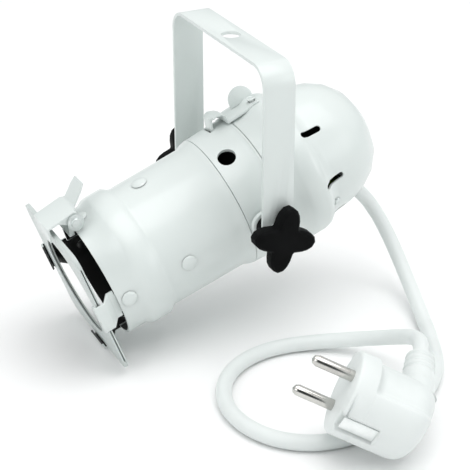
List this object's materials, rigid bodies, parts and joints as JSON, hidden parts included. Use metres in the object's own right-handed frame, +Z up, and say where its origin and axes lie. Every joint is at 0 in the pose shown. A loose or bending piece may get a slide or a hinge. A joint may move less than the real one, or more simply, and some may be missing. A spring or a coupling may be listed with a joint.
{
  "type": "par can",
  "caption": "Small white par can stage lamp on a bent yoke, with tilt knobs, a gel frame held by clips and a sprung flap, a latched rear cap and a mains cord with an angled plug.",
  "frame": {"origin": "centre of the hanging hole on the yoke's top face", "axes": "+X along the tilt axis towards the knob on the right seen from the nose's back, the nose looks to -Y and 20 degrees down, +Z up"},
  "size_m": [0.2134, 0.1796, 0.1401],
  "materials": {
    "white_powder_coat": "gloss",
    "black_plastic": "satin",
    "white_pvc": "satin",
    "zinc_plate": "satin",
    "nickel": "gloss",
    "ceramic": "matte",
    "mirror_coat": "gloss",
    "clear_glass": "gloss",
    "live_pvc": "satin",
    "neutral_pvc": "satin",
    "earth_pvc": "satin"
  },
  "bodies": {
    "yoke": {"yoke": "white_powder_coat", "mains_cord": "white_pvc", "plug_body": "white_pvc", "plug_pin_upper": "nickel", "plug_pin_lower": "nickel", "plug_contact_inner": "nickel", "plug_contact_outer": "nickel", "plug_strain_relief": "white_pvc"},
    "can": {"front_barrel": "white_powder_coat", "rear_housing": "white_powder_coat", "rear_cap": "white_powder_coat", "barrel_rivet_right": "white_powder_coat", "barrel_rivet_top": "white_powder_coat", "barrel_rivet_left": "white_powder_coat", "barrel_rivet_bottom": "white_powder_coat", "gel_clip_right": "white_powder_coat", "gel_clip_left": "white_powder_coat", "gel_clip_bottom": "white_powder_coat", "clip_rivet_right": "white_powder_coat", "clip_rivet_left": "white_powder_coat", "clip_rivet_bottom": "white_powder_coat", "gel_frame": "white_powder_coat", "retainer_bracket": "white_powder_coat", "retainer_rivet": "white_powder_coat", "pivot_bush_right": "white_powder_coat", "pivot_bush_left": "white_powder_coat", "retainer_hinge_pin": "zinc_plate", "socket_bracket": "zinc_plate", "cap_screw_right": "zinc_plate", "cap_screw_left": "zinc_plate", "socket_screw_right": "zinc_plate", "socket_screw_left": "zinc_plate", "earth_screw": "zinc_plate", "lamp_socket": "ceramic", "friction_spacer_right": "black_plastic", "friction_spacer_left": "black_plastic", "cord_gland": "white_pvc", "live_lead": "live_pvc", "neutral_lead": "neutral_pvc", "earth_lead": "earth_pvc"},
    "retainer_flap": {"retainer_flap": "white_powder_coat"},
    "latch": {"latch": "white_powder_coat", "latch_rivet_near": "white_powder_coat", "latch_rivet_far": "white_powder_coat"},
    "lamp": {"lamp_base": "ceramic", "lamp_pin_right": "nickel", "lamp_pin_left": "nickel", "lamp_reflector": "mirror_coat", "lamp_burner": "clear_glass", "lamp_glass": "clear_glass"},
    "right_washer": {"knob_washer_right": "zinc_plate"},
    "right_knob": {"tilt_knob_right": "black_plastic", "knob_stud_right": "zinc_plate"},
    "left_washer": {"knob_washer_left": "zinc_plate"},
    "left_knob": {"tilt_knob_left": "black_plastic", "knob_stud_left": "zinc_plate"}
  },
  "joints": [
    {"name": "can_tilt", "type": "hinge", "parent": "yoke", "child": "can", "pos_m": [0, 0, -0.078], "axis": [1, 0, 0], "range_deg": [-60, 70], "deforming": ["mains_cord"]},
    {"name": "retainer_flap", "type": "hinge", "parent": "can", "child": "retainer_flap", "pos_m": [0, -0.08028, -0.07029], "axis": [-1, 0, 0], "range_deg": [0, 48]},
    {"name": "latch_flex", "type": "hinge", "parent": "can", "child": "latch", "pos_m": [-0.00871, 0.01249, -0.03629], "axis": [-0.9703, 0.0827, -0.2273], "range_deg": [0, 5], "stiffness_Nm_per_rad": 0.5},
    {"name": "lamp_twist", "type": "hinge", "parent": "can", "child": "lamp", "pos_m": [0, 0, -0.078], "axis": [0, -0.9397, -0.342], "range_deg": [0, 40]},
    {"name": "right_knob_travel", "type": "slide", "parent": "yoke", "child": "right_washer", "axis": [1, 0, 0], "range_m": [0, 0.002]},
    {"name": "right_knob_turn", "type": "hinge", "parent": "right_washer", "child": "right_knob", "pos_m": [0.05, 0, -0.078], "axis": [1, 0, 0], "range_deg": [0, 720]},
    {"name": "left_knob_travel", "type": "slide", "parent": "yoke", "child": "left_washer", "axis": [-1, 0, 0], "range_m": [0, 0.002]},
    {"name": "left_knob_turn", "type": "hinge", "parent": "left_washer", "child": "left_knob", "pos_m": [-0.05, 0, -0.078], "axis": [-1, 0, 0], "range_deg": [0, 720]}
  ],
  "couplings": [
    {"joint": "right_knob_turn", "follows": "right_knob_travel", "rad_per_m": 6283},
    {"joint": "left_knob_turn", "follows": "left_knob_travel", "rad_per_m": 6283}
  ]
}
